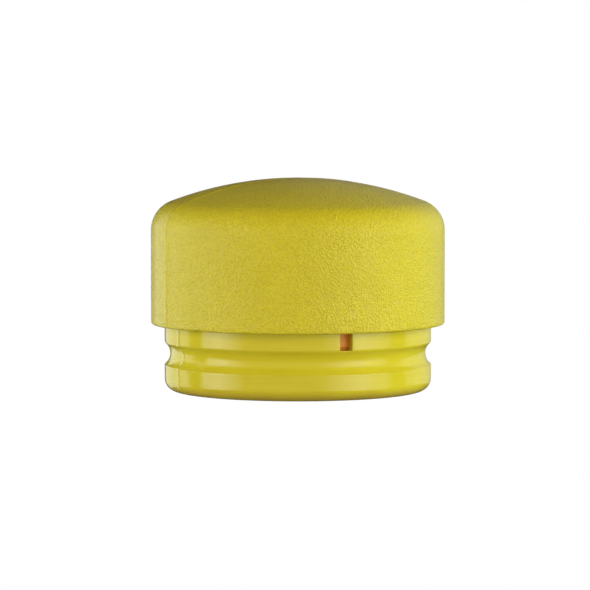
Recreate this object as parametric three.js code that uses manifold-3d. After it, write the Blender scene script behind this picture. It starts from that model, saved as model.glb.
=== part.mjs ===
// Snap-in striking face of a dead blow mallet: a domed polyurethane cap and a grooved spigot, both moulded
// round a rigid core. Millimetres, +Z up. The origin is the centre of the spigot's end face, on the axis, and
// the face strikes towards +Z. The two witness windows look along -Y and +Y.
import * as THREE from 'three';
import { mergeVertices } from 'three/addons/utils/BufferGeometryUtils.js';
import Module from 'manifold-3d';

// Driving dimensions
const FACE_DIAMETER = 50;
const SPIGOT_DIAMETER = 45.4;
const TOTAL_HEIGHT = 36.2;
const SPIGOT_LENGTH = 11.4; // from the end face up to the collar seat
const DOME_RADIUS = 61; // spherical radius of the striking surface
const SHOULDER_RADIUS = 5.2; // blends the dome into the cylindrical side
const COLLAR_EDGE_RADIUS = 0.4;
const FOOT_RADIUS = 2.1; // rounds the spigot's leading edge, so that it enters its socket
const GROOVE_HEIGHT = 6.4; // the detent groove's middle, above the end face
const GROOVE_DEPTH = 0.95;
const GROOVE_ARC_RADIUS = 2.4;
const SKIN = 1.6; // the spigot's wall round the core, its in-turned lip included
const LAP = 1.4; // how far the spigot reaches up into the cap
const LIP_RADIUS = 17; // where the lip's inner edge meets the core's end boss
const WINDOW_WIDTH = 2.2;
const WINDOW_HEIGHT = 3; // down from the collar seat, nearly to the groove's lip
const WINDOW_COUNT = 2;
const NECK_RADIUS = 18; // the cap grips the core in this waist
const NECK_LOW = 14.6;
const NECK_HIGH = 18.6;
const CORE_TOP = 25;
const CORE_TOP_RADIUS = 3;
const FLUTE_RADIUS = 2;
const FLUTE_COUNT = 6;
const LOCATING_HOLE_DIAMETER = 4;
const LOCATING_HOLE_DEPTH = 6;
const BOND_GAP = 0.1; // clearance between one piece and the next
const OVERRUN = 1; // how far a cutting body runs past the faces that it opens
const LATHE_SEGMENTS = 48;
const ROD_SEGMENTS = 16;

const faceRadius = FACE_DIAMETER / 2;
const spigotRadius = SPIGOT_DIAMETER / 2;
const shankRadius = spigotRadius - SKIN;
const grooveAxisRadius = spigotRadius - GROOVE_DEPTH + GROOVE_ARC_RADIUS;
const QUARTER_TURN = Math.PI / 2;

const wasm = await Module();
wasm.setup();

// An arc in the (radius, height) half plane, as steps + 1 points
function arc(centreRadius, centreHeight, radius, from, to, steps) {
  return Array.from({ length: steps + 1 }, (_, i) => {
    const angle = from + ((to - from) * i) / steps;
    return [centreRadius + radius * Math.cos(angle), centreHeight + radius * Math.sin(angle)];
  });
}

// The stretch of a circle about the groove's centre line that lies inside a given radius, from bottom to top:
// the detent groove itself, or the core's waist behind it
function grooveArc(arcRadius, outerRadius, steps) {
  const half = Math.acos((grooveAxisRadius - outerRadius) / arcRadius);
  return arc(grooveAxisRadius, GROOVE_HEIGHT, arcRadius, Math.PI + half, Math.PI - half, steps);
}

// Cap without its cavity: flat seat, collar edge, side, shoulder and dome, up to the apex
function capOutline() {
  const domeCentre = TOTAL_HEIGHT - DOME_RADIUS;
  const shoulderCentreRadius = faceRadius - SHOULDER_RADIUS;
  const shoulderAngle = Math.acos(shoulderCentreRadius / (DOME_RADIUS - SHOULDER_RADIUS));
  const shoulderHeight = domeCentre + (DOME_RADIUS - SHOULDER_RADIUS) * Math.sin(shoulderAngle);
  const collarEdge = [faceRadius - COLLAR_EDGE_RADIUS, SPIGOT_LENGTH + COLLAR_EDGE_RADIUS];
  return [
    [0, SPIGOT_LENGTH],
    ...arc(...collarEdge, COLLAR_EDGE_RADIUS, -QUARTER_TURN, 0, 2),
    ...arc(shoulderCentreRadius, shoulderHeight, SHOULDER_RADIUS, 0, shoulderAngle, 6),
    ...arc(0, domeCentre, DOME_RADIUS, shoulderAngle, QUARTER_TURN, 8).slice(1),
  ];
}

// Spigot without its bore: lip, rounded foot, lower land, detent groove and upper land, up to the lap
function spigotOutline(grow = 0) {
  const top = SPIGOT_LENGTH + LAP + grow;
  return [
    [0, 0],
    ...arc(spigotRadius - FOOT_RADIUS, FOOT_RADIUS, FOOT_RADIUS, -QUARTER_TURN, 0, 5),
    ...grooveArc(GROOVE_ARC_RADIUS, spigotRadius, 8),
    [spigotRadius, SPIGOT_LENGTH - grow],
    [spigotRadius + grow, SPIGOT_LENGTH - grow],
    [spigotRadius + grow, top],
    [0, top],
  ];
}

// Core: end boss inside the lip, shank waisted behind the detent groove, neck and round-topped head.
// With grow it is the cavity that the moulded pieces leave for it, and runs out through the end face
function coreOutline(grow = 0) {
  const bottom = grow > 0 ? -OVERRUN : 0;
  const boss = LIP_RADIUS - BOND_GAP + grow;
  const ledge = SKIN + BOND_GAP - grow;
  const shank = shankRadius + grow;
  const topEdge = [shankRadius - CORE_TOP_RADIUS, CORE_TOP - CORE_TOP_RADIUS];
  return [
    [0, bottom],
    [boss, bottom],
    [boss, ledge],
    [shank, ledge],
    ...grooveArc(GROOVE_ARC_RADIUS + SKIN - grow, shank, 8),
    [shank, NECK_LOW + grow],
    [NECK_RADIUS + grow, NECK_LOW + grow],
    [NECK_RADIUS + grow, NECK_HIGH - grow],
    [shank, NECK_HIGH - grow],
    ...arc(...topEdge, CORE_TOP_RADIUS + grow, 0, QUARTER_TURN, 4),
    [0, CORE_TOP + grow],
  ];
}

// A closed geometry as a solid that can be joined and cut
function solidOf(geometry) {
  const bare = geometry.index ? geometry.toNonIndexed() : geometry.clone();
  bare.deleteAttribute('normal');
  bare.deleteAttribute('uv');
  const merged = mergeVertices(bare, 1e-4);
  const vertProperties = merged.attributes.position.array;
  const triVerts = new Uint32Array(merged.index.array);
  return new wasm.Manifold(new wasm.Mesh({ numProp: 3, vertProperties, triVerts }));
}

// Such a solid as a geometry again
function geometryOf(solid) {
  const { numProp, numVert, vertProperties, triVerts } = solid.getMesh();
  const positions = new Float32Array(numVert * 3);
  for (let i = 0; i < numVert; i++) {
    positions.set(vertProperties.subarray(i * numProp, i * numProp + 3), i * 3);
  }
  const geometry = new THREE.BufferGeometry();
  geometry.setAttribute('position', new THREE.BufferAttribute(positions, 3));
  geometry.setIndex(new THREE.BufferAttribute(triVerts, 1));
  geometry.computeVertexNormals();
  return geometry;
}

// An outline turned about the Z axis
function turned(outline) {
  const points = outline.map(([radius, height]) => new THREE.Vector2(radius, height));
  return solidOf(new THREE.LatheGeometry(points, LATHE_SEGMENTS).rotateX(QUARTER_TURN));
}

// An upright cylinder standing from low to high at a place beside the axis
function upright(diameter, low, high, x = 0, y = 0) {
  const rod = new THREE.CylinderGeometry(diameter / 2, diameter / 2, high - low, ROD_SEGMENTS);
  return solidOf(rod.rotateX(QUARTER_TURN).translate(x, y, (low + high) / 2));
}

// Core with the flutes in its head that stop the cap from turning
function coreSolid(grow = 0) {
  let core = turned(coreOutline(grow));
  for (let i = 0; i < FLUTE_COUNT; i++) {
    const angle = ((i + 0.5) * 2 * Math.PI) / FLUTE_COUNT;
    const x = shankRadius * Math.cos(angle);
    const y = shankRadius * Math.sin(angle);
    const flute = upright(2 * (FLUTE_RADIUS - grow), NECK_HIGH - OVERRUN, CORE_TOP + OVERRUN, x, y);
    core = core.subtract(flute);
  }
  return core;
}

// A window through the spigot's wall, just under the collar seat
function windowSolid(index) {
  const opening = new THREE.BoxGeometry(WINDOW_WIDTH, SKIN + 2 * OVERRUN, WINDOW_HEIGHT);
  opening.translate(0, SKIN / 2 - spigotRadius, SPIGOT_LENGTH - WINDOW_HEIGHT / 2);
  return solidOf(opening.rotateZ((index * 2 * Math.PI) / WINDOW_COUNT));
}

function strikingCap() {
  return turned(capOutline()).subtract(turned(spigotOutline(BOND_GAP))).subtract(coreSolid(BOND_GAP));
}

function snapInSpigot() {
  let spigot = turned(spigotOutline()).subtract(coreSolid(BOND_GAP));
  for (let i = 0; i < WINDOW_COUNT; i++) spigot = spigot.subtract(windowSolid(i));
  return spigot;
}

function rigidCore() {
  return coreSolid().subtract(upright(LOCATING_HOLE_DIAMETER, -OVERRUN, LOCATING_HOLE_DEPTH));
}

function mesh(name, solid, finish) {
  const made = new THREE.Mesh(geometryOf(solid), new THREE.MeshStandardMaterial(finish));
  made.name = name;
  return made;
}

const face = new THREE.Group();
face.name = 'mallet_face';
face.add(
  mesh('striking_cap', strikingCap(), { color: '#cbbd33', roughness: 0.55, metalness: 0 }),
  mesh('snap_in_spigot', snapInSpigot(), { color: '#cdbf2e', roughness: 0.18, metalness: 0 }),
  mesh('rigid_core', rigidCore(), { color: '#a5602c', roughness: 0.45, metalness: 0 }),
);

export default face;
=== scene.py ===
# The looks of the snap-in mallet face: fine meshes, materials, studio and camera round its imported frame.
# Everything is in metres, in the frame of the CAD model: +Z up, the spigot's end at z = 0, and windows at
# -Y and +Y. An azimuth is in degrees, 0 at -Y and 90 at +X.
import math

import bmesh
import bpy
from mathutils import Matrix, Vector


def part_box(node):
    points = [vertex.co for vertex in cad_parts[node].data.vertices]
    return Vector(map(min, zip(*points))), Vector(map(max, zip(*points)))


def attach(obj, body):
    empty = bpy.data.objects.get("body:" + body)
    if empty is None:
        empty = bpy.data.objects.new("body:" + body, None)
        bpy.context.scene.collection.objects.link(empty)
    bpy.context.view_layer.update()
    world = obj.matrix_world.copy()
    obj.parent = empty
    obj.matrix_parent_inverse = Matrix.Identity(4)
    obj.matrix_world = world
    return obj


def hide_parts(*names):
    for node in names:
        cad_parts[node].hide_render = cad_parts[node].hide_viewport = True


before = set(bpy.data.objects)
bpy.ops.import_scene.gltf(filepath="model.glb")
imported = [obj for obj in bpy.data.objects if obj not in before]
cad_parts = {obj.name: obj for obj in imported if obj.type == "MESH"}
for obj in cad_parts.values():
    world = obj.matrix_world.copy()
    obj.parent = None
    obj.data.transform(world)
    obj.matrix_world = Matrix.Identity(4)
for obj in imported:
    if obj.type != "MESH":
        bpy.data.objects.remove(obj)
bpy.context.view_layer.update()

MM = 0.001

# Sizes that the frame gives
cap_low, cap_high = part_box("striking_cap")
spigot_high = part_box("snap_in_spigot")[1]
core_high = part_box("rigid_core")[1]
FACE_RADIUS = cap_high.x
APEX = cap_high.z
SEAT = cap_low.z
SPIGOT_RADIUS = spigot_high.x
LAP_TOP = spigot_high.z
SHANK_RADIUS = core_high.x
CORE_TOP = core_high.z
SKIN = SPIGOT_RADIUS - SHANK_RADIUS

# The rest of the shape, as in the CAD model, with finer roundings
DOME_RADIUS = 61 * MM
SHOULDER_RADIUS = 5.2 * MM
COLLAR_EDGE = 0.4 * MM
FOOT_RADIUS = 2.1 * MM
GROOVE_HEIGHT = 6.4 * MM
GROOVE_DEPTH = 0.95 * MM
GROOVE_ARC = 2.4 * MM
GROOVE_AXIS = SPIGOT_RADIUS - GROOVE_DEPTH + GROOVE_ARC
LOWER_LIP = 0.25 * MM
UPPER_LIP = 0.7 * MM
LIP_RADIUS = 17 * MM
NECK_RADIUS = 18 * MM
NECK_LOW = 14.6 * MM
NECK_HIGH = 18.6 * MM
CORE_TOP_EDGE = 3 * MM
CORE_EDGE = 0.3 * MM
FLUTE_RADIUS = 2 * MM
FLUTE_COUNT = 6
HOLE_RADIUS = 2 * MM
HOLE_DEPTH = 6 * MM
BOND_GAP = 0.1 * MM
WINDOW_HALF_WIDTH = 1.1 * MM
WINDOW_HEIGHT = 3 * MM
WINDOW_EDGE = 0.1 * MM
WINDOWS = (0, 180)  # azimuths

# The mould's parting line: a fine ridge on both sides, at these azimuths
SEAMS = (-82.7, 97.3)
RIDGE_HALF_WIDTH = 0.28 * MM
RIDGE_HEIGHT = 0.09 * MM

# Meshes
COLUMN_STEP = 1.0
COLUMN_CLEARANCE = 0.4  # degrees that the even columns keep off the special ones
FIRST_COLUMN = -90  # clear of the windows and seams
SPREAD_RADIUS = 0.6 * FACE_RADIUS  # nearer the axis than this, special columns close up as the others do
RIDGE_SHARES = (-1, -0.6, -0.25, 0, 0.25, 0.6, 1)  # columns across a ridge, in half widths
OPENING_SHARES = (-0.5, 0, 0.5)  # columns within a window, in half widths
SIDE_EDGE_SHARES = (0, 0.1, 0.25, 0.5, 0.75, 1)  # columns beside a window, in edge roundings
FOOT_EDGE_SHARES = (1, 0.7, 0.4, 0.2)  # rows under a window, in edge roundings
BORE_ROWS = 24
SHARP_ANGLE = 32
ON_AXIS = 1e-9  # a smaller radius counts as none
MERGE_DISTANCE = 1e-7

# Materials
NOISE_LOW = 0.3  # most of a noise lies between these
NOISE_HIGH = 0.7
GRAIN = 0.32 * MM
GRAIN_CLUMP = 1.3 * MM
GRAIN_CLUMP_SHARE = 0.35
GRAIN_RELIEF = 0.25 * MM
GRAIN_TILT = (0.5, 0.35, 0.2)  # keeps the noise's own grid out of line with the piece
CAP_CLOUD = 9 * MM
CAP_COLOURS = ((0.775, 0.71, 0.022), (0.81, 0.74, 0.027))
SPIGOT_CLOUD = 7 * MM
SPIGOT_COLOURS = ((0.75, 0.685, 0.025), (0.785, 0.72, 0.030))
TURNING_LINE = 0.25 * MM
TURNING_STRETCH = 0.02  # draws the noise out along the turning
TURNING_RELIEF = 0.025 * MM
RIPPLE = 4 * MM
RIPPLE_RELIEF = 0.03 * MM
FOOT_SHADE_LOW = 1.0 * MM  # the foot, which faces down, is painted brown as shade below this, and clean above the next height
FOOT_SHADE_HIGH = 2.4 * MM
FOOT_SHADE_RAGGED = 1.2 * MM
FOOT_SHADE_TINT = (0.88, 0.77, 1.8)  # multiplies the yellow, as painted shade
MOTTLE = 1.6 * MM
FLECK = 0.18 * MM
FLECK_RELIEF = 0.01 * MM
CORE_COLOURS = ((0.82, 0.34, 0.05), (0.92, 0.40, 0.07))

# Camera
CAMERA_AZIMUTH = -20.7
CAMERA_ELEVATION = 4.04
CAMERA_DISTANCE = 704.5 * MM
CAMERA_LENS = 252.3  # the lens and the sensor are in Blender's millimetres
CAMERA_SENSOR = 36
CAMERA_REACH = 20
AIM_LEFT = 0.48 * MM
AIM_HEIGHT = SEAT + 4.82 * MM

# Studio
LIGHT_DISTANCE = 0.6
WORLD_RADIANCE = 0.07
WHITE = (1, 1, 1)
WARM = (1, 0.5, 0.45)
AMBER = (1, 0.3, 0.3)
DARK_GREY = (0.03, 0.03, 0.03)
FLOOR_GAP = 0.05 * MM  # keeps the floor apart from the spigot's end face
FLOOR_RADIUS = 1.6
FLOOR_SWEEP = 0.6
FLOOR_WALL = 1.2
FLOOR_RINGS = 16


# ---- outlines, as (radius, height) points ----

def arc(centre, radius, start, end, steps):
    """An arc from one angle to another, in degrees from the outward direction, both ends included."""
    turns = [math.radians(start + (end - start) * i / steps) for i in range(steps + 1)]
    return [(centre[0] + radius * math.cos(t), centre[1] + radius * math.sin(t)) for t in turns]


def line(start, end, steps):
    """A straight run from start to end, without its last point."""
    return [
        tuple(a + (b - a) * i / steps for a, b in zip(start, end))
        for i in range(steps)
    ]


def cap_outside():
    """Seat, collar edge, side, shoulder and dome, up to the apex."""
    dome_centre = (0, APEX - DOME_RADIUS)
    shoulder_radius = FACE_RADIUS - SHOULDER_RADIUS
    shoulder_angle = math.degrees(math.acos(shoulder_radius / (DOME_RADIUS - SHOULDER_RADIUS)))
    rise = (DOME_RADIUS - SHOULDER_RADIUS) * math.sin(math.radians(shoulder_angle))
    shoulder_centre = (shoulder_radius, dome_centre[1] + rise)
    edge_centre = (FACE_RADIUS - COLLAR_EDGE, SEAT + COLLAR_EDGE)
    side_foot = (FACE_RADIUS, edge_centre[1])
    side_top = (FACE_RADIUS, shoulder_centre[1])
    return [
        *line((SPIGOT_RADIUS + BOND_GAP, SEAT), (edge_centre[0], SEAT), 3),
        *arc(edge_centre, COLLAR_EDGE, -90, 0, 6)[:-1],
        *line(side_foot, side_top, 24),
        *arc(shoulder_centre, SHOULDER_RADIUS, 0, shoulder_angle, 20)[:-1],
        *arc(dome_centre, DOME_RADIUS, shoulder_angle, 90, 28),
    ]


def groove_lip(rounding, offset, radius):
    """How far above or below the groove's middle a rounded lip has its centre, and the angle where it ends.
    The lip meets an upright at radius, and the groove's arc moved inwards by offset."""
    across = GROOVE_AXIS - radius + rounding
    rise = math.sqrt((GROOVE_ARC + offset + rounding) ** 2 - across ** 2)
    return rise, math.degrees(math.atan2(rise, across))


def upper_land_radius(height):
    """The spigot's radius over the groove: its upper lip, then the land."""
    short = GROOVE_HEIGHT + groove_lip(UPPER_LIP, 0, SPIGOT_RADIUS)[0] - height
    return SPIGOT_RADIUS - UPPER_LIP + math.sqrt(UPPER_LIP ** 2 - max(short, 0) ** 2)


def spigot_outside(upper_heights):
    """Lip, foot, lower land, groove and upper land, up to the lap's top. upper_heights are its rows' heights
    over the groove."""
    foot_centre = (SPIGOT_RADIUS - FOOT_RADIUS, FOOT_RADIUS)
    lower_rise, lower_turn = groove_lip(LOWER_LIP, 0, SPIGOT_RADIUS)
    upper_turn = groove_lip(UPPER_LIP, 0, SPIGOT_RADIUS)[1]
    lower_centre = (SPIGOT_RADIUS - LOWER_LIP, GROOVE_HEIGHT - lower_rise)
    return [
        *line((LIP_RADIUS, 0), (foot_centre[0], 0), 4),
        *arc(foot_centre, FOOT_RADIUS, -90, 0, 14)[:-1],
        *line((SPIGOT_RADIUS, FOOT_RADIUS), (SPIGOT_RADIUS, lower_centre[1]), 4),
        *arc(lower_centre, LOWER_LIP, 0, lower_turn, 5)[:-1],
        *arc((GROOVE_AXIS, GROOVE_HEIGHT), GROOVE_ARC, 180 + lower_turn, 180 - upper_turn, 24),
        *[(upper_land_radius(height), height) for height in upper_heights],
        (SPIGOT_RADIUS, LAP_TOP),
    ]


def bore_radius(height):
    """The spigot's bore, which follows the groove at the same wall."""
    wall_arc = GROOVE_ARC + SKIN - BOND_GAP
    rise = min(abs(height - GROOVE_HEIGHT), wall_arc)
    return min(SHANK_RADIUS + BOND_GAP, GROOVE_AXIS - math.sqrt(wall_arc ** 2 - rise ** 2))


def spigot_inside(window_heights):
    """Bore and lip, from the lap's top down. window_heights are rows' heights, from the windows' foot up."""
    ledge = SKIN
    lower = [ledge + (window_heights[0] - ledge) * i / BORE_ROWS for i in range(BORE_ROWS)]
    heights = [*window_heights[::-1], *lower[::-1]]
    return [
        (bore_radius(LAP_TOP), LAP_TOP),
        *[(bore_radius(height), height) for height in heights],
        (LIP_RADIUS, ledge),
    ]


def core_upper(grow):
    """The core from the seat up to its top on the axis, or its cavity in the cap."""
    shank = SHANK_RADIUS + grow
    neck = NECK_RADIUS + grow
    edge_centre = (SHANK_RADIUS - CORE_TOP_EDGE, CORE_TOP - CORE_TOP_EDGE)
    return [
        *line((shank, LAP_TOP + BOND_GAP), (shank, NECK_LOW + grow), 2),
        *line((shank, NECK_LOW + grow), (neck, NECK_LOW + grow), 2),
        *line((neck, NECK_LOW + grow), (neck, NECK_HIGH - grow), 4),
        *line((neck, NECK_HIGH - grow), (shank, NECK_HIGH - grow), 8),
        *line((shank, NECK_HIGH - grow), (shank, edge_centre[1]), 4),
        *arc(edge_centre, CORE_TOP_EDGE + grow, 0, 90, 12),
        (0, CORE_TOP + grow),
    ]


def core_lower():
    """The core from the bottom of its locating hole round its end boss and up its shank."""
    boss = LIP_RADIUS - BOND_GAP
    ledge = SKIN + BOND_GAP
    waist_turn = groove_lip(0, SKIN, SHANK_RADIUS)[1]
    return [
        (0, HOLE_DEPTH),
        *line((HOLE_RADIUS, HOLE_DEPTH), (HOLE_RADIUS, CORE_EDGE), 4),
        *arc((HOLE_RADIUS + CORE_EDGE, CORE_EDGE), CORE_EDGE, 180, 270, 4),
        *arc((boss - CORE_EDGE, CORE_EDGE), CORE_EDGE, -90, 0, 4),
        *line((boss, ledge), (SHANK_RADIUS, ledge), 3),
        (SHANK_RADIUS, ledge),
        *arc((GROOVE_AXIS, GROOVE_HEIGHT), GROOVE_ARC + SKIN, 180 + waist_turn, 180 - waist_turn, 24),
    ]


# ---- meshes ----

def columns_round(special):
    """Where a turned mesh has its columns, as (azimuth, sideways offset) pairs all round.
    special holds (azimuth, offsets) pairs, whose columns stand in for the even ones near them."""
    columns = [(azimuth, offset) for azimuth, offsets in special for offset in offsets]
    near = {
        azimuth: math.degrees(max(offsets) / SPREAD_RADIUS) + COLUMN_CLEARANCE
        for azimuth, offsets in special
    }
    for i in range(round(360 / COLUMN_STEP)):
        even = i * COLUMN_STEP - 180
        if all(abs((even - azimuth + 180) % 360 - 180) > reach for azimuth, reach in near.items()):
            columns.append((even, 0))
    return sorted(columns, key=lambda c: (c[0] + math.degrees(c[1] / FACE_RADIUS) - FIRST_COLUMN) % 360)


def azimuth_at(column, radius):
    """A column's azimuth at a radius, in radians. Its offset is a length, so it turns more near the axis."""
    return math.radians(column[0]) + math.asin(column[1] / max(radius, SPREAD_RADIUS))


def ring(mesh, point, normal, columns, limit=None, lift=None):
    """One turned row of vertices. limit(azimuth) caps its radius, and lift(column, point, normal) raises it
    off the surface along the outline's normal. On the axis it is one vertex, repeated."""
    radius, height = point
    if radius < ON_AXIS:
        return [mesh.verts.new((0, 0, height))] * len(columns)
    row = []
    for column in columns:
        azimuth = azimuth_at(column, radius)
        raised = lift(column, point, normal) if lift else 0
        out = radius + raised * normal[0]
        if limit:
            out = min(out, limit(azimuth))
        place = (out * math.sin(azimuth), -out * math.cos(azimuth), height + raised * normal[1])
        row.append(mesh.verts.new(place))
    return row


def with_normals(outline):
    """Each point of an outline with its normal, on the right-hand side of its direction of travel."""
    pairs = []
    for i, point in enumerate(outline):
        before = outline[max(i - 1, 0)]
        after = outline[min(i + 1, len(outline) - 1)]
        along = Vector((after[0] - before[0], after[1] - before[1])).normalized()
        pairs.append((point, (along.y, -along.x)))
    return pairs


def turned_rows(mesh, outline, columns, limit=None, limit_from=math.inf, lift=None):
    """The rows of a turned outline. limit applies to rows at or above the height limit_from."""
    return [
        ring(mesh, point, normal, columns, limit if point[1] >= limit_from else None, lift)
        for point, normal in with_normals(outline)
    ]


def skin(mesh, low, high, left_out=()):
    """Faces between two rows, but for the columns left out. A row on the axis repeats one vertex, which
    leaves triangles."""
    for i in range(len(low)):
        after = (i + 1) % len(low)
        if i not in left_out:
            mesh.faces.new(dict.fromkeys((low[i], low[after], high[after], high[i])))


def skin_all(mesh, rows):
    """Faces from each row to the next."""
    for low, high in zip(rows, rows[1:]):
        skin(mesh, low, high)


def ridge(column, point, normal):
    """How far the parting line's ridge stands off the surface. It dies away towards faces that look down."""
    azimuth, offset = column
    if azimuth not in SEAMS or abs(offset) > RIDGE_HALF_WIDTH:
        return 0
    share = min(1, point[0] / SPREAD_RADIUS) * min(1, 2 * (1 + normal[1]))
    return RIDGE_HEIGHT * share * (1 - (offset / RIDGE_HALF_WIDTH) ** 2)


def seam_columns():
    """The special columns that carry the parting line's ridges."""
    offsets = [RIDGE_HALF_WIDTH * share for share in RIDGE_SHARES]
    return [(seam, offsets) for seam in SEAMS]


def smooth_object(name, mesh, material):
    """Turns a bmesh into a smooth-shaded object."""
    data = bpy.data.meshes.new(name)
    mesh.to_mesh(data)
    mesh.free()
    data.shade_smooth()
    data.materials.append(material)
    made = bpy.data.objects.new(name, data)
    bpy.context.scene.collection.objects.link(made)
    return made


def finished(name, mesh, material, node):
    """Turns a bmesh into a piece that stands for a CAD node."""
    bmesh.ops.remove_doubles(mesh, verts=mesh.verts, dist=MERGE_DISTANCE)
    bmesh.ops.recalc_face_normals(mesh, faces=mesh.faces)
    piece = smooth_object(name, mesh, material)
    piece.data.set_sharp_from_angle(angle=math.radians(SHARP_ANGLE))
    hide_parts(node)
    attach(piece, "root")
    return piece


def flute_limit(grow):
    """The head's radius where a flute cuts into it, as a function of the azimuth."""
    radius = FLUTE_RADIUS - grow
    pitch = 2 * math.pi / FLUTE_COUNT

    def limit(azimuth):
        aside = (azimuth + math.pi / 2) % pitch - pitch / 2
        across = SHANK_RADIUS * math.sin(aside)
        if abs(across) >= radius:
            return math.inf
        return SHANK_RADIUS * math.cos(aside) - math.sqrt(radius ** 2 - across ** 2)

    return limit


def striking_cap(material):
    """Dome, side and collar, with the cavity that grips the core and takes the spigot's lap."""
    mesh = bmesh.new()
    columns = columns_round(seam_columns())
    outside = turned_rows(mesh, cap_outside(), columns, lift=ridge)
    rebate_top = LAP_TOP + BOND_GAP
    rebate = line((SPIGOT_RADIUS + BOND_GAP, rebate_top), (SHANK_RADIUS + BOND_GAP, rebate_top), 2)
    cavity = turned_rows(
        mesh, rebate + core_upper(BOND_GAP), columns, flute_limit(BOND_GAP), NECK_HIGH - BOND_GAP)
    skin_all(mesh, outside[::-1] + cavity)
    return finished("striking_cap_skin", mesh, material, "striking_cap")


def rigid_core(material):
    """Core with its locating hole, end boss, waisted shank, neck and fluted head."""
    mesh = bmesh.new()
    columns = columns_round([])
    skin_all(mesh, turned_rows(mesh, core_lower() + core_upper(0), columns, flute_limit(0), NECK_HIGH))
    return finished("rigid_core_skin", mesh, material, "rigid_core")


def window_dip(column, point):
    """How far the spigot's surface falls away to round the edge of a window."""
    azimuth, offset = column
    if azimuth not in WINDOWS:
        return 0
    beside = max(abs(offset) - WINDOW_HALF_WIDTH, 0)
    below = max(SEAT - WINDOW_HEIGHT - point[1], 0)
    inwards = WINDOW_EDGE - math.hypot(beside, below)
    if inwards <= 0:
        return 0
    return math.sqrt(max(WINDOW_EDGE ** 2 - inwards ** 2, 0)) - WINDOW_EDGE


def spigot_lift(column, point, normal):
    """How far the spigot's surface stands off its outline."""
    return ridge(column, point, normal) + window_dip(column, point)


def window_columns():
    """The special columns at the windows: each opening, and the rounded edges beside it."""
    edge = [WINDOW_HALF_WIDTH + WINDOW_EDGE * share for share in SIDE_EDGE_SHARES]
    opening = [WINDOW_HALF_WIDTH * share for share in OPENING_SHARES]
    offsets = [-offset for offset in edge[::-1]] + opening + edge
    return [(azimuth, offsets) for azimuth in WINDOWS]


def window_row_heights():
    """Rows up the windows, from their foot over the upper lip's end to the seat."""
    foot = SEAT - WINDOW_HEIGHT
    land_start = GROOVE_HEIGHT + groove_lip(UPPER_LIP, 0, SPIGOT_RADIUS)[0]
    on_lip = [foot + (land_start - foot) * i / 4 for i in range(4)]
    on_land = [land_start + (SEAT - land_start) * i / 7 for i in range(8)]
    return on_lip + on_land


def lip_row_heights():
    """Rows on the groove's upper lip, closer together where the windows' foot is rounded."""
    rise, turn = groove_lip(UPPER_LIP, 0, SPIGOT_RADIUS)
    start = GROOVE_HEIGHT + rise - UPPER_LIP * math.sin(math.radians(turn))
    foot = SEAT - WINDOW_HEIGHT
    rounding_start = foot - WINDOW_EDGE
    even = [start + (rounding_start - start) * i / 3 for i in (1, 2)]
    return even + [foot - WINDOW_EDGE * share for share in FOOT_EDGE_SHARES]


def snap_in_spigot(material):
    """Grooved spigot with its lip, lap and windows."""
    mesh = bmesh.new()
    window_heights = window_row_heights()
    columns = columns_round(seam_columns() + window_columns())
    outside = spigot_outside(lip_row_heights() + window_heights)
    inside = spigot_inside(window_heights)
    rows = turned_rows(mesh, outside, columns, lift=spigot_lift) + turned_rows(mesh, inside, columns)
    # The windows' rows outside and in the bore, from their foot up
    outer = range(len(outside) - 1 - len(window_heights), len(outside) - 1)
    inner = range(len(outside) + len(window_heights), len(outside), -1)
    # Rows and columns whose faces, towards the next ones, are left out
    open_rows = (*outer[:-1], *inner[1:])
    open_columns = [
        i for i, (azimuth, offset) in enumerate(columns)
        if azimuth in WINDOWS and -WINDOW_HALF_WIDTH <= offset < WINDOW_HALF_WIDTH
    ]
    for i, low in enumerate(rows):
        high = rows[(i + 1) % len(rows)]
        skin(mesh, low, high, open_columns if i in open_rows else ())
    window_walls(mesh, rows, columns, open_columns, zip(outer, inner))
    loose = [vertex for vertex in mesh.verts if not vertex.link_faces]
    bmesh.ops.delete(mesh, geom=loose, context="VERTS")
    return finished("snap_in_spigot_skin", mesh, material, "snap_in_spigot")


def window_walls(mesh, rows, columns, open_columns, levels):
    """The four walls of each window, between its opening outside and its opening in the bore. levels pairs
    the indices of the outer and the inner rows, from the windows' foot up."""
    pairs = [(rows[outer], rows[inner]) for outer, inner in levels]
    for i in open_columns:
        for outer, inner in (pairs[0], pairs[-1]):
            mesh.faces.new((outer[i], outer[i + 1], inner[i + 1], inner[i]))
        for edge in (i, i + 1):
            if abs(columns[edge][1]) != WINDOW_HALF_WIDTH:
                continue
            for (outer, inner), (outer_above, inner_above) in zip(pairs, pairs[1:]):
                mesh.faces.new((outer[edge], outer_above[edge], inner_above[edge], inner[edge]))


# ---- materials ----

def set_input(tree, socket, value):
    """Sets a node's input, or links it where the value is another node's output."""
    if isinstance(value, bpy.types.NodeSocket):
        tree.links.new(value, socket)
    else:
        socket.default_value = value


def set_inputs(tree, made, **inputs):
    """Sets or links a node's inputs by name, with _ for a space."""
    for key, value in inputs.items():
        set_input(tree, made.inputs[key.replace("_", " ")], value)


def node(tree, kind, properties=(), **inputs):
    """Adds a node with its properties and inputs."""
    made = tree.nodes.new(kind)
    for key, value in dict(properties).items():
        setattr(made, key, value)
    set_inputs(tree, made, **inputs)
    return made


def worked_out(tree, kind, operation, *values):
    """The result of a Math or Vector Math node, whose inputs are given in their order."""
    made = node(tree, kind, {"operation": operation})
    for socket, value in zip(made.inputs, values):
        set_input(tree, socket, value)
    return made.outputs[0]


def new_material(name):
    """A material's tree, its shader, and the object's own coordinates, in metres."""
    material = bpy.data.materials.new(name)
    material.use_nodes = True
    tree = material.node_tree
    shader = tree.nodes["Principled BSDF"]
    where = node(tree, "ShaderNodeTexCoord").outputs["Object"]
    return material, tree, shader, where


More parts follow.
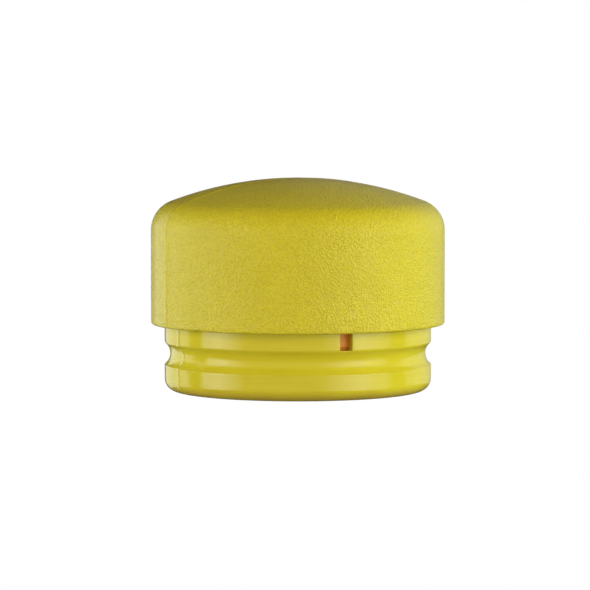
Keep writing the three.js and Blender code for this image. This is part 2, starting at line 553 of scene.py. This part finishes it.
def ramp(tree, factor, colours, start=NOISE_LOW, end=NOISE_HIGH):
    """A colour that runs from the first to the second as the factor goes from start to end."""
    made = node(tree, "ShaderNodeValToRGB", Fac=factor)
    for element, position, colour in zip(made.color_ramp.elements, (start, end), colours):
        element.position = position
        element.color = (*colour, 1)
    return made.outputs["Color"]


def noise(tree, where, size, detail=2.0, roughness=0.5):
    """Noise whose features are about size metres wide."""
    made = node(tree, "ShaderNodeTexNoise", Vector=where, Scale=1 / size, Detail=detail, Roughness=roughness)
    return made.outputs["Fac"]


def span(tree, value, low, high, start=NOISE_LOW, end=NOISE_HIGH):
    """Runs from low to high as the value goes from start to end."""
    made = node(
        tree, "ShaderNodeMapRange", Value=value, From_Min=start, From_Max=end, To_Min=low, To_Max=high)
    return made.outputs["Result"]


def bump(tree, height, distance, **under):
    """A bump whose full height range is distance metres, on top of another's Normal where one is given."""
    made = node(tree, "ShaderNodeBump", Height=height, Distance=distance, Strength=1.0, **under)
    return made.outputs["Normal"]


def shaded(tree, colour, tone):
    """A colour made lighter or darker by a factor."""
    made = node(tree, "ShaderNodeVectorMath", {"operation": "SCALE"}, Vector=colour, Scale=tone)
    return made.outputs["Vector"]


def painted_foot_shade(tree, where, cloud, colour):
    """A colour with painted brown shade below a ragged line on the foot, which faces down."""
    height = node(tree, "ShaderNodeSeparateXYZ", Vector=where).outputs["Z"]
    ragged = worked_out(tree, "ShaderNodeMath", "MULTIPLY_ADD", cloud, FOOT_SHADE_RAGGED, height)
    shade_share = span(tree, ragged, 1.0, 0.0, FOOT_SHADE_LOW, FOOT_SHADE_HIGH)
    tint = ramp(tree, shade_share, (WHITE, FOOT_SHADE_TINT), 0, 1)
    return worked_out(tree, "ShaderNodeVectorMath", "MULTIPLY", colour, tint)


def grained_yellow():
    """Polyurethane off a spark-eroded mould: close grains, glossy in themselves, whose relief spreads the
    gloss. The colour is painted darker in the pits as shade and lighter on the grains as glints, and is
    slightly cloudy."""
    material, tree, shader, where = new_material("grained_yellow")
    tilted = node(tree, "ShaderNodeMapping", Vector=where, Rotation=GRAIN_TILT).outputs["Vector"]
    grains = noise(tree, tilted, GRAIN, detail=1.0)
    clumps = noise(tree, tilted, GRAIN_CLUMP, detail=1.0)
    relief = worked_out(tree, "ShaderNodeMath", "MULTIPLY_ADD", clumps, GRAIN_CLUMP_SHARE, grains)
    yellow = ramp(tree, noise(tree, where, CAP_CLOUD, detail=3.0), CAP_COLOURS)
    # Painted shade and glints: the colour is darker in the pits and lighter on the grains
    set_inputs(
        tree, shader,
        Base_Color=shaded(tree, yellow, span(tree, grains, 0.92, 1.08)),
        Specular_IOR_Level=0.35,
        Roughness=span(tree, grains, 0.16, 0.10),
        Normal=bump(tree, relief, GRAIN_RELIEF))
    return material


def polished_yellow():
    """The same plastic off a polished mould: glossy, with the fine lines of the mould's turning in its relief
    and as painted highlight streaks in its colour, and with painted brown shade on the foot, which faces
    down."""
    material, tree, shader, where = new_material("polished_yellow")
    stretch = (TURNING_STRETCH, TURNING_STRETCH, 1)
    around = node(tree, "ShaderNodeMapping", Vector=where, Scale=stretch).outputs["Vector"]
    lines = noise(tree, around, TURNING_LINE, detail=2.0)
    ripple = noise(tree, where, RIPPLE, detail=1.0)
    cloud = noise(tree, where, SPIGOT_CLOUD, detail=3.0)
    # Painted shade: the foot, which faces down, is painted browner towards the bottom
    foot_shaded_yellow = painted_foot_shade(tree, where, cloud, ramp(tree, cloud, SPIGOT_COLOURS))
    # The colour's streaks along the turning lines are painted highlight streaks
    set_inputs(
        tree, shader,
        Base_Color=shaded(tree, foot_shaded_yellow, span(tree, lines, 0.975, 1.025)),
        Specular_IOR_Level=0.36,
        Roughness=span(tree, cloud, 0.11, 0.15),
        Normal=bump(tree, lines, TURNING_RELIEF, Normal=bump(tree, ripple, RIPPLE_RELIEF)))
    return material


def core_brown():
    """Filled, red-brown plastic: a mottled skin with fine flecks."""
    material, tree, shader, where = new_material("core_brown")
    flecks = noise(tree, where, FLECK, detail=2.0)
    brown = ramp(tree, noise(tree, where, MOTTLE, detail=4.0, roughness=0.6), CORE_COLOURS)
    set_inputs(
        tree, shader,
        Base_Color=shaded(tree, brown, span(tree, flecks, 0.9, 1.1)),
        Specular_IOR_Level=0.2,
        Roughness=span(tree, flecks, 0.35, 0.55),
        Normal=bump(tree, flecks, FLECK_RELIEF))
    return material


# ---- studio ----

def direction(azimuth, elevation):
    """The unit vector towards an azimuth and elevation."""
    turn = math.radians(azimuth)
    rise = math.radians(elevation)
    return Vector((math.sin(turn) * math.cos(rise), -math.cos(turn) * math.cos(rise), math.sin(rise)))


def aim(thing, location, target):
    """Puts a camera or light at a location, looking at a target with its top up."""
    thing.location = location
    thing.rotation_euler = (target - location).to_track_quat("-Z", "Y").to_euler()


def softbox(name, sides, heights, radiances, colour=WHITE, diffuse=True, glossy=True):
    """An area light that fills the azimuths between sides, counted from the camera's, and the elevations
    between heights, as seen from the object. Its radiance runs evenly from one side's to the other's. diffuse
    and glossy say whether it shades matt surfaces and whether glossy ones mirror it."""
    lamp = bpy.data.lights.new(name, "AREA")
    lamp.shape = "RECTANGLE"
    lamp.size = 2 * LIGHT_DISTANCE * math.tan(math.radians((sides[1] - sides[0]) / 2))
    lamp.size_y = 2 * LIGHT_DISTANCE * math.tan(math.radians((heights[1] - heights[0]) / 2))
    lamp.energy = lamp.size * lamp.size_y * math.pi  # makes the strengths below radiances
    lamp.color = colour
    lamp.use_nodes = True
    tree = lamp.node_tree
    place = node(tree, "ShaderNodeNewGeometry").outputs["Parametric"]
    across = node(tree, "ShaderNodeSeparateXYZ", Vector=place).outputs["X"]
    set_inputs(tree, tree.nodes["Emission"], Strength=span(tree, across, *radiances, 0, 1))
    light = bpy.data.objects.new(name, lamp)
    bpy.context.scene.collection.objects.link(light)
    middle = Vector((0, 0, APEX / 2))
    away = direction(CAMERA_AZIMUTH + sum(sides) / 2, sum(heights) / 2)
    aim(light, middle + away * LIGHT_DISTANCE, middle)
    light.visible_camera = False
    light.visible_diffuse = diffuse
    light.visible_glossy = glossy
    return light


def shine_only_on(light, pieces):
    """Links a light to the pieces that it lights."""
    group = bpy.data.collections.new(light.name + "_lights")
    for piece in pieces:
        group.objects.link(piece)
    light.light_linking.receiver_collection = group


def floor_material():
    """White paper, lit from behind, so that it takes neither shade nor colour from the object."""
    material = bpy.data.materials.new("paper")
    material.use_nodes = True
    tree = material.node_tree
    set_inputs(
        tree, tree.nodes["Principled BSDF"],
        Emission_Color=(*WHITE, 1),
        Emission_Strength=1.0,
        Base_Color=(*DARK_GREY, 1),
        Specular_IOR_Level=0.0)
    return material


def paper_floor():
    """A round floor whose rim sweeps up into a wall. Only the camera sees it, so that it shades nothing."""
    outline = [
        (0, -FLOOR_GAP),
        *line((FACE_RADIUS, -FLOOR_GAP), (FLOOR_RADIUS, -FLOOR_GAP), FLOOR_RINGS),
        *arc((FLOOR_RADIUS, FLOOR_SWEEP - FLOOR_GAP), FLOOR_SWEEP, -90, 0, FLOOR_RINGS),
        (FLOOR_RADIUS + FLOOR_SWEEP, FLOOR_WALL),
    ]
    mesh = bmesh.new()
    skin_all(mesh, turned_rows(mesh, outline, columns_round([])))
    floor = smooth_object("floor", mesh, floor_material())
    floor.visible_diffuse = False
    floor.visible_glossy = False
    floor.visible_transmission = False
    floor.visible_shadow = False


def world_light():
    """The dim room that fills what no softbox reaches."""
    world = bpy.data.worlds.new("studio")
    world.use_nodes = True
    tree = world.node_tree
    set_inputs(tree, tree.nodes["Background"], Color=(*WHITE, 1), Strength=WORLD_RADIANCE)
    bpy.context.scene.world = world


def studio(cap, spigot, core):
    """Softboxes to the left and right, walls beyond them, and a dim room in front. The lights that aren't
    glossy stand for what the room throws back, and core_fill for what reaches the core through its window."""
    world_light()
    # Azimuths, elevations and radiances, each from one end to the other
    lights = [
        softbox("left_softbox", (-90, -68), (-20, 28), (2.4, 4.4)),
        softbox("left_softbox_fade", (-68, -46), (-20, 28), (3.8, 0.5)),
        softbox("right_softbox_fade", (22, 60), (-20, 28), (0.9, 4.0)),
        softbox("right_softbox", (60, 86), (-20, 28), (2.9, 1.0)),
        softbox("left_gap", (-107, -90), (4, 28), (1.0, 1.0)),
        softbox("right_gap", (86, 104), (4, 28), (5.0, 5.0), glossy=False),
        softbox("left_wall", (-160, -107), (-20, 12), (0.84, 1.42)),
        softbox("right_wall", (104, 180), (-12, 28), (1.0, 0.1)),
        softbox("front_fill", (-46, 22), (4, 34), (0.7, 0.7), WARM, glossy=False),
        softbox("front_room", (-46, 22), (-20, 28), (0.45, 0.6), diffuse=False),
        softbox("right_top", (10, 48), (60, 88), (0.7, 0.7), WARM, glossy=False),
        softbox("back_fill", (150, 210), (-12, 18), (1.8, 1.8), glossy=False),
        softbox("foot_fill", (-60, 60), (-60, -22), (0.12, 0.12), AMBER, glossy=False),
    ]
    for light in lights:
        shine_only_on(light, [cap, spigot, core])
    core_fill = softbox("core_fill", (-64, 16), (-10, 20), (0.52, 0.52), glossy=False)
    shine_only_on(core_fill, [core])
    paper_floor()


def camera():
    """The camera, a little to the left of the front window and slightly above the piece."""
    lens = bpy.data.cameras.new("camera")
    lens.lens = CAMERA_LENS
    lens.sensor_width = CAMERA_SENSOR
    lens.clip_end = CAMERA_REACH
    eye = bpy.data.objects.new("camera", lens)
    bpy.context.scene.collection.objects.link(eye)
    towards = direction(CAMERA_AZIMUTH, CAMERA_ELEVATION)
    right = direction(CAMERA_AZIMUTH + 90, 0)
    target = Vector((0, 0, AIM_HEIGHT)) - right * AIM_LEFT
    aim(eye, target + towards * CAMERA_DISTANCE, target)
    bpy.context.scene.camera = eye


camera()
studio(
    striking_cap(grained_yellow()),
    snap_in_spigot(polished_yellow()),
    rigid_core(core_brown()),
)
bpy.context.scene.view_settings.view_transform = "Standard"
